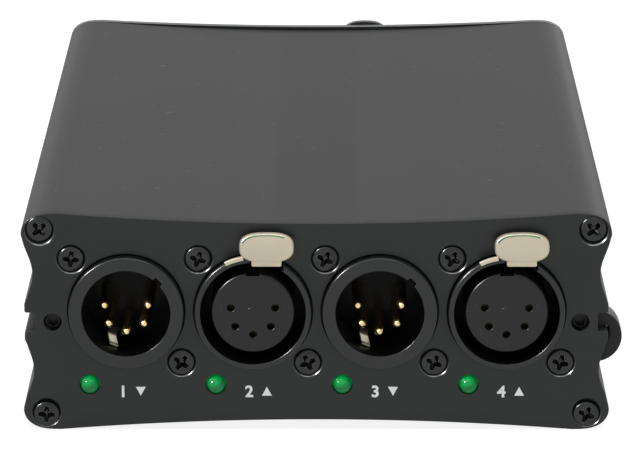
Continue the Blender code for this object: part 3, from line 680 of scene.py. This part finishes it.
def rounded(points, radius, steps=4):
    """Open outline whose inner corners are rounded."""
    result = [tuple(points[0])]
    for before, corner, after in zip(points, points[1:], points[2:]):
        corner = Vector(corner)
        sides = [Vector(end) - corner for end in (before, after)]
        reach = min(radius, *(0.49 * side.length for side in sides))
        start, end = (corner + side.normalized() * reach for side in sides)
        for i in range(steps + 1):
            t = i / steps
            result.append(tuple(start.lerp(corner, t).lerp(corner.lerp(end, t), t)))
    return result + [tuple(points[-1])]


one_set_screw = carved("one_set_screw", (turned, rounded(rod(grub_radius, grub_front, grub_back),
    grub_edge), 0.0, 0.0, 32), (CUT, turned, [(hexagon_radius, 0.0), (hexagon_radius, hexagon_depth)],
    0.0, 0.0, 6))
mesh = scattered("set_screws", one_set_screw, [spot(f"set_screw_{side}") for side in ("left", "right")],
    2, dark_steel, turn_limit=0.4)
dress("set_screws", mesh, [dark_steel], "case", "set_screw_left", "set_screw_right")

# Male connectors
# Die-cast shells with a smooth dark ring that stands through the plate, and a deep cup that holds five
# turned pins, a key notch at its rim and a sprung ground strip.
ring_proud, ring_edge, ring_back, barrel_radius = mm(2.0, 0.5, 3.8, 10.2)
flange_half, flange_rise, flange_corner, flange_front, flange_back = mm(11.1, 11.6, 1.5, 2.3, 5.3)
flange_screw = mm(9.85, -9.7)
housing_back, contact_circle = mm(19.3, 4.1)
contact_step = math.tau / 7
cup_radius, cup_depth, cup_rim, notch_half, notch_corner = mm(8.0, 13.0, 0.3, 0.85, 0.3)
notch_low, notch_high, notch_back = mm(6.5, 8.7, 3.0)
notch_angle = math.radians(44.0)
pin_radius, pin_hole = mm(0.95, 1.0)
pin_nose = 1.5 * pin_radius
pin_back = housing_back + 3.0 * MM
spring_half, spring_gauge, spring_bend = mm(0.78, 0.3, 0.4)
spring_path = [mm(2.9, -7.75), mm(3.2, -7.6), mm(4.1, -6.3), mm(12.7, -7.4)]
spring_lean, spring_foot = 0.75, -7.2 * MM
spring_angle = math.radians(22.0)
inner_margin = 0.06 * MM
shell_black = finish("black_shell", (0.008, 0.009, 0.009), (0.011, 0.012, 0.012), (0.20, 0.28),
    grain=0.0005, patch=0.01, bump=0.06, specular=0.38, worn=(0.16, 0.16, 0.165), worn_width=0.00015)
# Painted shade: this near-black colour goes on the inside of the connector bores, where shade falls.
bore_painted_shade = finish("bore_painted_shade", (0.004, 0.004, 0.004), (0.007, 0.007, 0.007), (0.14, 0.22),
    grain=0.0004, patch=0.006, bump=0.05, specular=0.06)
gold = finish("gold_plate", (0.62, 0.46, 0.19), (0.80, 0.64, 0.33), (0.14, 0.26), 1.0, patch=0.003,
    bump=0.05)
nickel = finish("bright_nickel", (0.50, 0.48, 0.37), (0.62, 0.60, 0.46), (0.20, 0.32), 0.7, grain=0.0004,
    patch=0.004, bump=0.06)
contact_places = [(contact_circle * math.sin(i * contact_step),
    -contact_circle * math.cos(i * contact_step)) for i in range(-2, 3)]


def turn_all(bm, angle, axis):
    bmesh.ops.rotate(bm, verts=bm.verts, cent=(0, 0, 0), matrix=Matrix.Rotation(angle, 3, axis))


def flange_holes(bm):
    for side in (-1, 1):
        turned(bm, [(screw_shank, 0.0), (screw_shank, flange_back + past)], side * flange_screw[0],
            side * flange_screw[1], segments=24)


def barrel(bm, ring):
    """Ring through the plate and the barrel behind it."""
    profile = rounded([(0.0, -ring_proud), (ring, -ring_proud), (ring, ring_back)], ring_edge, 5)
    back = max(barrel_radius, ring - 0.4 * MM)
    turned(bm, profile + [(back, ring_back), (back, housing_back), (0.0, housing_back)], segments=96)


def bore(bm, radius, depth, rim):
    """Cutter for a bore with a round rim."""
    edge = rounded([(radius + rim, -ring_proud), (radius, -ring_proud + 0.02 * MM), (radius, depth)],
        rim, 5)
    turned(bm, [(0.0, -ring_proud - past), (radius + rim, -ring_proud - past), *edge, (0.0, depth)],
        segments=96)


def key_notch(bm):
    prism(bm, round_box(notch_half, notch_low, notch_high, notch_corner, 3), -ring_proud - past,
        notch_back)
    turn_all(bm, notch_angle, "Y")


def pin_holes(bm):
    for x, z in contact_places:
        turned(bm, [(pin_hole, cup_depth - past), (pin_hole, housing_back + past)], x, z, segments=24)


def strip(bm, path, half, gauge, lean=0.0, foot=0.0):
    """Flat strip along (depth, height) points that leans aside as it falls below its foot."""
    loops = []
    for y, z in path:
        x = lean * (foot - z)
        loops.append([(x - half, y, z), (x - half, y, z + gauge), (x + half, y, z + gauge),
            (x + half, y, z)])
    skin(bm, loops)


def ground_spring(bm):
    """Thin strip along the cup's lower left wall, bowed where it touches a plug."""
    strip(bm, rounded(spring_path, spring_bend, 5), spring_half, spring_gauge, spring_lean, spring_foot)
    turn_all(bm, spring_angle, "Y")


def housing(name, mesh, bore_radius, node, place=front):
    """Connector shell whose bore is painted darker than its ring, as painted shade."""
    inner = bore_radius + inner_margin
    indexes = [1 if math.hypot(face.center.x, face.center.z) < inner
        and face.center.y > -ring_proud + ring_edge else 0 for face in mesh.polygons]
    dress(name, mesh, [shell_black, bore_painted_shade], "case", node, place=place,
        at=(spot(node, place)[0], connector_z), indexes=indexes, sharp=40.0)


flange = (prism, round_box(flange_half, -flange_rise, flange_rise, flange_corner, 3), flange_front,
    flange_back)
male_mesh = carved("male_shell", (barrel, male_ring), (JOIN, *flange),
    (CUT, bore, cup_radius, cup_depth, cup_rim), (CUT, key_notch), (CUT, pin_holes), (CUT, flange_holes))
pin_mesh = shell("pin", turned, dome(pin_radius, 0.0, pin_nose) + [(pin_radius, pin_back),
    (0.0, pin_back)], 0.0, 0.0, 32)
spring_mesh = shell("ground_spring", ground_spring)
for name in ("in_1", "in_2"):
    at = spot(f"{name}_housing")[0], connector_z
    housing(f"{name}_shell", male_mesh, cup_radius, f"{name}_housing")
    pins = scattered(f"{name}_pins", pin_mesh, contact_places, 5, gold)
    dress(f"{name}_pins", pins, [gold], "case", *(f"{name}_pin_{i}" for i in range(1, 6)), at=at)
    dress(f"{name}_spring", spring_mesh, [nickel], "case", f"{name}_ground_spring", at=at)

# Female connectors
# Shells of the same family with a thin ring round a deep bore, painted dark as shade. The moulded insert
# inside has a keyway, a raised disc in its middle and five numbered holes with a gold contact sleeve in
# each.
female_bore, female_depth, cheek = mm(9.5, 15.0, 1.5)
cheek_depth, cheek_low = mm(2.6, 12.5), 5.7 * MM
lever_room_back = 13.5 * MM
pivot = mm(5.0, 12.0)
pivot_radius, pivot_half, latch_shift, insert_radius = mm(0.9, 8.4, 2.5, 7.55)
insert_front, insert_back = -1.2 * MM, female_depth - 0.3 * MM
insert_edge = 0.7 * MM
disc_radius, disc_front, disc_back = 1.1 * MM, insert_front - 0.10 * MM, insert_front + 0.2 * MM
socket_radius, socket_rim, socket_depth, keyway_half = mm(0.7, 0.3, 9.0, 1.25)
sleeve_profile = (mm(0.66, 6.0), mm(0.66, 3.3), mm(0.62, 3.2), mm(0.50, 3.2), mm(0.46, 3.4),
    mm(0.46, 6.0))
cap_height = 0.7
number_gauge = 0.015 * MM
raised_height, raised_weight, raised_reach, raised_sink = mm(0.95, 0.03, 1.75, 0.45)
moulded_black = finish("moulded_insert", (0.009, 0.0095, 0.0105), (0.013, 0.0135, 0.0145), (0.22, 0.30),
    grain=0.0002, patch=0.006, bump=0.10, specular=0.28, worn=(0.10, 0.10, 0.105))


def cross_bore(bm, half, shift):
    """Cutter for the bore that a latch's pin lies in."""
    turned(bm, [(pivot_radius, -half), (pivot_radius, half)], segments=24)
    turn_all(bm, math.pi / 2, "Z")
    bmesh.ops.translate(bm, verts=bm.verts, vec=(shift, *pivot))


def socket_shell(name, ring, radius, shift):
    """Shell with a plain bore, and cheeks for a latch that stands aside of its axis by a shift."""
    outer = lever_half + cheek
    return carved(name, (barrel, ring), (JOIN, *flange), (JOIN, block, shift - outer, shift + outer,
        *cheek_depth, cheek_low, lever_room[1]), (CUT, bore, radius, female_depth, ring_edge),
        (CUT, block, shift - lever_half, shift + lever_half, -ring_proud - past, lever_room_back,
        lever_room[0], lever_room[1] + past), (CUT, cross_bore, pivot_half, shift), (CUT, flange_holes))


def insert(bm):
    turned(bm, [(0.0, insert_front), *rounded([(0.5 * MM, insert_front), (insert_radius, insert_front),
        (insert_radius, 5.0 * MM)], insert_edge, 6), (insert_radius, insert_back), (0.0, insert_back)],
        segments=96)


def insert_disc(bm):
    turned(bm, [(0.0, disc_front), *rounded([(0.2 * MM, disc_front), (disc_radius, disc_front),
        (disc_radius + 0.05 * MM, disc_back)], 0.1 * MM, 3), (0.0, disc_back)], segments=40)


def insert_holes(bm):
    for x, z in contact_places:
        edge = rounded([(socket_radius + socket_rim, insert_front),
            (socket_radius, insert_front + 0.02 * MM), (socket_radius, socket_depth)], socket_rim, 4)
        turned(bm, [(socket_radius + socket_rim, insert_front - past), *edge], x, z, segments=32)
    block(bm, -keyway_half, keyway_half, insert_front - past, socket_depth, insert_radius - 0.7 * MM,
        insert_radius + past)


def sleeve(bm, segments=24):
    """Hollow contact whose wall is a closed loop of (radius, depth) points."""
    rings = [[bm.verts.new(p) for p in circle(radius, y, segments)] for radius, y in sleeve_profile]
    for low, high in zip(rings, rings[1:] + rings[:1]):
        for i in range(segments):
            j = (i + 1) % segments
            bm.faces.new((low[i], low[j], high[j], high[i]))


def number_mesh(number, height, weight):
    """Thin mesh of a number, standing on the origin, facing the front."""
    curve = bpy.data.curves.new("number", "FONT")
    curve.body = str(number)
    curve.size = height / cap_height
    curve.align_x = "CENTER"
    curve.extrude = number_gauge
    curve.offset = weight
    mesh = applied(new_object("number", curve))
    mesh.transform(Matrix.Rotation(math.pi / 2, 4, "X"))
    return mesh


def raised_numbers():
    """Numbers moulded outside the holes, from 1 to 5 clockwise, as one mesh."""
    bm = bmesh.new()
    for number, (x, z) in enumerate(contact_places, 1):
        out = 1 + raised_reach / math.hypot(x, z)
        mesh = number_mesh(number, raised_height, raised_weight)
        mesh.transform(Matrix.Translation((x * out, insert_front - 0.01 * MM, z * out - raised_sink)))
        bm.from_mesh(mesh)
    mesh = bpy.data.meshes.new("raised_numbers")
    bm.to_mesh(mesh)
    bm.free()
    return mesh


insert_mesh = carved("insert", (insert,), (JOIN, insert_disc), (CUT, insert_holes))
female_mesh = socket_shell("female_shell", female_ring, female_bore, latch_shift)
one_sleeve = shell("sleeve", sleeve)
moulded_numbers = raised_numbers()
for name in ("out_1", "out_2"):
    at = spot(f"{name}_insert")[0], connector_z
    housing(f"{name}_shell", female_mesh, female_bore, f"{name}_housing")
    dress(f"{name}_moulding", insert_mesh, [moulded_black], "case", f"{name}_insert", at=at, sharp=40.0)
    sleeves = scattered(f"{name}_sleeves", one_sleeve, contact_places, 4, gold)
    dress(f"{name}_sleeves", sleeves, [gold], "case", at=at)
    dress(f"{name}_numbers", moulded_numbers, [moulded_black], "case", at=at)

# Push latches
# Cast latches that rock on a pin: a crowned thumb pad, a neck, and a lever with a hook for the plug. The
# front ones are pale nickel with an arm along the ring and a thin green line, a painted reflection; the
# rear one is moulded. Behind each pad the lever and hook are painted darker, as painted shade.
pad_half = 4.9 * MM
pad_front, pad_back, pad_crown, pad_edge, pad_bottom = mm(-4.2, -2.4, 0.28, 0.55, 10.1)
front_pad, rear_pad = mm(5.35, 7.2)
squareness = 2.7
neck_half, lever_width, latch_bore_half = mm(2.7, 2.7, 5.4)
lever_side = [mm(-3.3, 10.6), mm(-3.3, 13.4), mm(5.0, 13.4), mm(11.5, 12.49), mm(11.5, 10.6)]
hook_side = [mm(9.2, 9.3), mm(9.2, 11.3), mm(11.5, 11.3), mm(11.5, 8.4)]
hook_span = mm(-2.43, -0.23)
arm_inner, arm_outer, arm_front, arm_back, arm_edge = mm(10.45, 11.15, -3.2, -2.55, 0.1)
arm_start, arm_end = -27.0, -9.0
line_inner, line_outer = 0.865, 0.935
line_sunk, line_proud = mm(0.05, -0.015)
pale_nickel = finish("pale_satin_nickel", (0.56, 0.50, 0.375), (0.64, 0.575, 0.44), (0.28, 0.42), 0.3,
    patch=0.004, bump=0.08, worn=(0.86, 0.80, 0.66))
moulded_latch = finish("moulded_latch", (0.020, 0.020, 0.021), (0.030, 0.030, 0.031), (0.30, 0.40),
    patch=0.006, bump=0.10, worn=(0.10, 0.10, 0.10))
# Painted shade: the lever and hook behind each pad, inside the housing, get this darker colour.
latch_painted_shade = finish("latch_painted_shade", (0.10, 0.10, 0.10), (0.16, 0.16, 0.155), (0.35, 0.45), 0.5, patch=0.003,
    bump=0.15)
# Painted reflection: a green tint drawn as a thin line along the top edge of each front pad.
green_painted_reflection = finish("green_painted_reflection", (0.008, 0.15, 0.06), (0.012, 0.20, 0.08), (0.35, 0.45), grain=0.0002,
    patch=0.002, bump=0.05)


def squared(value):
    """Side of the pad's superellipse for a sine or a cosine."""
    return math.copysign(abs(value) ** (2 / squareness), value)


def pad(bm, height):
    """Superellipse pad with a crowned front and a round edge."""
    middle = pad_bottom + height / 2
    profile = [(0.0, pad_front)]
    reach = 1 - pad_edge / pad_half
    for i in range(1, 7):
        s = reach * i / 6
        profile.append((s, pad_front + pad_crown * s * s))
    start = profile[-1][1]
    for a in angles(18.0, 90.0, 4):
        profile.append((reach + (1 - reach) * math.sin(a), start + pad_edge * (1 - math.cos(a))))
    profile += [(1.0, pad_back - 0.2 * MM), (0.96, pad_back), (0.0, pad_back)]
    loops = []
    for size, y in profile:
        turns = angles(0.0, 360.0, 72)[:-1] if size else [0.0]
        loops.append([(squared(math.sin(a)) * size * pad_half, y,
            middle + squared(math.cos(a)) * size * height / 2) for a in turns])
    skin(bm, loops)


def slab(bm, side, x0, x1):
    """Closed solid of a (depth, height) outline between two sides."""
    skin(bm, [[(x, y, z) for y, z in side] for x in (x0, x1)])


def arm(bm):
    """Flat arm that follows the ring's upper left from behind the pad."""
    section = ((arm_inner, arm_back), (arm_outer, arm_back), (arm_outer, arm_front + arm_edge),
        (arm_outer - arm_edge, arm_front), (arm_inner, arm_front))
    skin(bm, [[(radius * math.sin(a) - latch_shift, y, radius * math.cos(a)) for radius, y in section]
        for a in angles(arm_start, arm_end, 14)])


def pad_line(bm):
    """Thin green line just inside the upper edge of a front pad, a painted reflection."""
    section = ((line_inner, line_sunk), (line_inner, line_proud), (line_outer, line_proud),
        (line_outer, line_sunk))
    loops = []
    for a in angles(-72.0, 40.0, 28):
        x, z = squared(math.sin(a)), squared(math.cos(a))
        loops.append([(x * size * pad_half, pad_front + pad_crown * size * size + lift,
            pad_bottom + front_pad / 2 + z * size * front_pad / 2) for size, lift in section])
    skin(bm, loops)


def latch_mesh(name, height, *more):
    neck = round_box(neck_half, pad_bottom - 0.8 * MM, pad_bottom + 2.5 * MM, 0.3 * MM, 3)
    return carved(name, (pad, height), (JOIN, prism, neck, pad_front + 0.5 * MM, pad_back, 0.2 * MM),
        (JOIN, slab, lever_side, -lever_width, lever_width), (JOIN, slab, hook_side, *hook_span),
        (CUT, cross_bore, latch_bore_half, 0.0), *more)


front_latch = latch_mesh("front_latch", front_pad, (JOIN, arm))
rear_latch = latch_mesh("rear_latch", rear_pad)
for node, place, mesh, coat, body in (("out_1_latch", front, front_latch, pale_nickel, "latch_1"),
        ("out_2_latch", front, front_latch, pale_nickel, "latch_2"),
        ("ethernet_latch", rear, rear_latch, moulded_latch, "latch_rear")):
    # Faces behind the pad get the second finish, painted shade inside the housing.
    inside = [1 if face.center.y > pad_back + 0.1 * MM else 0 for face in mesh.polygons]
    dress(f"{node}_cast", mesh, [coat, latch_painted_shade], body, node, place=place,
        at=(spot(node, place)[0], connector_z), indexes=inside, sharp=30.0)
line_mesh = shell("pad_line", pad_line)
for node, body in (("out_1_latch", "latch_1"), ("out_2_latch", "latch_2")):
    dress(f"{node}_line", line_mesh, [green_painted_reflection], body, at=(spot(node)[0], connector_z))

# Rear network socket
# The same ring and latch round a moulded jack, with eight sprung contacts in its mouth.
rear_ring, rear_bore, jack_half, jack_rise, jack_corner = mm(10.7, 9.6, 7.1, 6.2, 1.0)
jack_front, jack_back, mouth_half, mouth_rise, mouth_back = mm(-1.0, 14.7, 5.9, 3.45, 12.0)
clip_half, clip_low = mm(3.0, 5.15)
wire_path = [mm(1.0, 3.3), mm(4.0, 2.2), mm(7.5, 0.6), mm(8.4, 0.5)]
wire_half, wire_gauge, wire_pitch = mm(0.2, 0.25, 1.02)
mouth = [(-mouth_half, -mouth_rise), (-mouth_half, mouth_rise), (mouth_half, mouth_rise),
    (mouth_half, -mouth_rise), (clip_half, -mouth_rise), (clip_half, -clip_low), (-clip_half, -clip_low),
    (-clip_half, -mouth_rise)]
jack_at = spot("ethernet_jack", rear)[0], connector_z
housing("ethernet_shell", socket_shell("ethernet_shell", rear_ring, rear_bore, 0.0), rear_bore,
    "ethernet_housing", rear)
jack_mesh = carved("jack", (prism, round_box(jack_half, -jack_rise, jack_rise, jack_corner), jack_front,
    jack_back, 0.3 * MM), (CUT, prism, mouth, -ring_proud - past, mouth_back))
dress("ethernet_moulding", jack_mesh, [moulded_black], "case", "ethernet_jack", place=rear, at=jack_at)
contacts = scattered("jack_contacts", shell("jack_contact", strip, wire_path, wire_half, wire_gauge),
    [((i - 3.5) * wire_pitch, 0.0) for i in range(8)], 1, gold, turn_limit=0.0)
dress("jack_contacts", contacts, [gold], "case", place=rear, at=jack_at)

# Power inlet
# Round moulded inlet for a low-voltage plug, with a centre pin, held by a hexagon nut behind the plate.
power_at = spot("power_inlet", rear)
inlet_bore, inlet_barrel, inlet_collar, inlet_front, inlet_seat = mm(2.8, 4.0, 5.6, -1.6, -0.3)
inlet_floor, inlet_back, power_pin_radius, power_pin_front = mm(9.0, 12.0, 1.0, 0.4)
power_pin_back = inlet_floor - 0.1 * MM
inlet_profile = [(0.0, inlet_floor), *rounded([(inlet_bore, inlet_floor), (inlet_bore, inlet_front),
    (inlet_collar, inlet_front), (inlet_collar, inlet_seat)], 0.4 * MM), (inlet_barrel, inlet_seat),
    (inlet_barrel, inlet_back), (0.0, inlet_back)]
power_pin_profile = [(0.0, power_pin_front), *rounded([(0.3 * MM, power_pin_front),
    (power_pin_radius, power_pin_front), (power_pin_radius, 3.0 * MM)], 0.5 * MM),
    (power_pin_radius, power_pin_back), (0.0, power_pin_back)]
inlet_mesh = shell("power_moulding", turned, inlet_profile)
power_pin_mesh = shell("power_pin", turned, power_pin_profile, 0.0, 0.0, 24)
dress("power_moulding", inlet_mesh, [moulded_black], "case", "power_inlet", place=rear, at=power_at,
    sharp=40.0)
dress("power_pin", power_pin_mesh, [nickel], "case", place=rear, at=power_at)
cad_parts["power_nut"].data.materials.clear()
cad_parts["power_nut"].data.materials.append(nickel)

# Lamps
# Clear green moulded lamps with a domed end, pressed in below each connector. The moulding glows faintly,
# and its colour is painted lighter on the side that faces the light above and darker on the other sides:
# painted light and shade.
lamp_radius, lamp_flange, lamp_tip, lamp_back = mm(1.6, 1.95, -1.5, 5.0)
lamp_flange_front, lamp_flange_back = mm(2.3, 3.3)
lamp_painted_shade, lamp_painted_light = (0.002, 0.12, 0.035), (0.004, 0.62, 0.10)
lamp_green = finish("green_lamp", lamp_painted_shade, lamp_painted_light, (0.06, 0.12), bump=0.0, specular=0.22)
tree = lamp_green.node_tree
shader = tree.nodes["Principled BSDF"]
set_inputs(shader, {"Emission Color": (0.0, 0.70, 0.16, 1.0), "Emission Strength": 0.10})
# Painted light and shade: the base colour runs from the shaded green to the lit green as the surface
# turns towards the light above.
shape = shader_node(tree, "NewGeometry")
painted_light_facing = shader_node(tree, "VectorMath", "DOT_PRODUCT", {1: (-0.45, -0.35, 0.82)})
painted_light_share = shader_node(tree, "MapRange", None, {"From Min": 0.25, "From Max": 0.95})
link(tree, (shape, "Normal", painted_light_facing, 0), (painted_light_facing, "Value", painted_light_share, "Value"),
    (mixed(tree, painted_light_share, "Result", lamp_painted_shade, lamp_painted_light), 2, shader, "Base Color"))
lamp_profile = dome(lamp_radius, lamp_tip, 0.0) + [(lamp_radius, lamp_flange_front),
    (lamp_flange, lamp_flange_front), (lamp_flange, lamp_flange_back), (lamp_radius, lamp_flange_back),
    (lamp_radius, lamp_back), (0.0, lamp_back)]
lamp_nodes = [f"lamp_{i}" for i in range(1, 5)]
lamps = scattered("lamps", shell("one_lamp", turned, lamp_profile, 0.0, 0.0, 40),
    [spot(name) for name in lamp_nodes], 6, lamp_green)
dress("lamps", lamps, [lamp_green], "case", *lamp_nodes)

# Printed numbers
# A white number and a small arrow under each connector, screen printed on the front plate. The arrow
# points down for a connector that takes a signal in and up for one that gives it out.
print_height, print_weight, print_lift, print_sink = mm(2.1, 0.09, 0.02, 0.01)
print_z, print_reach, number_shift, arrow_shift = mm(6.2, 8.0, -2.0, 1.2)
arrow_half, arrow_margin = mm(0.9, 0.2)
print_white = finish("print_white", (0.92, 0.92, 0.91), (0.98, 0.98, 0.97), (0.5, 0.6), grain=0.0002,
    patch=0.002, bump=0.1)
for number, name in enumerate(("in_1", "out_1", "in_2", "out_2"), 1):
    x = spot(f"lamp_{number}")[0] + print_reach
    mesh = number_mesh(number, print_height, print_weight)
    mesh.transform(Matrix.Translation((x + number_shift, -print_sink, print_z)))
    dress(f"number_{number}", mesh, [print_white], "case")
    tip, base = print_z + arrow_margin, print_z + print_height - arrow_margin
    if name.startswith("out"):
        tip, base = base, tip
    x += arrow_shift
    triangle = shell(f"arrow_{number}", prism, [(x, tip), (x + arrow_half, base),
        (x - arrow_half, base)], -print_lift, print_sink)
    dress(f"arrow_{number}", triangle, [print_white], "case")

# Slot lug
# Round moulded lug that slides in the bracket slot on the right side. Its foot fills the slot behind the
# lips, and its edges are rounded.
lug_edge = 0.25 * MM
moulded_lug = finish("moulded_lug", (0.006, 0.006, 0.006), (0.010, 0.010, 0.010), (0.40, 0.50),
    patch=0.004, bump=0.12, specular=0.22, worn=(0.09, 0.09, 0.09), worn_width=0.0003)
lug_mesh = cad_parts["slot_lug"].data.copy()
bm = bmesh.new()
bm.from_mesh(lug_mesh)
bmesh.ops.remove_doubles(bm, verts=bm.verts, dist=1e-6)
bmesh.ops.dissolve_limit(bm, angle_limit=math.radians(0.3), verts=bm.verts, edges=bm.edges)
bm.to_mesh(lug_mesh)
bm.free()
dress("lug_moulding", eased_mesh(lug_mesh, lug_edge, 3), [moulded_lug], "lug", "slot_lug",
    place=Matrix.Identity(4))

# Board and hidden parts
# The circuit board in the case's grooves with its three packages, and the steel pins that the latches
# rock on, all out of sight.
board_green = finish("green_board", (0.015, 0.10, 0.045), (0.02, 0.14, 0.06), (0.35, 0.45), grain=0.0006,
    patch=0.01, bump=0.1)
for node in ("main_board", "processor_chip", "isolator_left", "isolator_right", "out_1_latch_pin",
        "out_2_latch_pin", "ethernet_latch_pin"):
    coat = board_green if node == "main_board" else nickel if node.endswith("pin") else moulded_latch
    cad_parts[node].data.materials.clear()
    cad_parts[node].data.materials.append(coat)
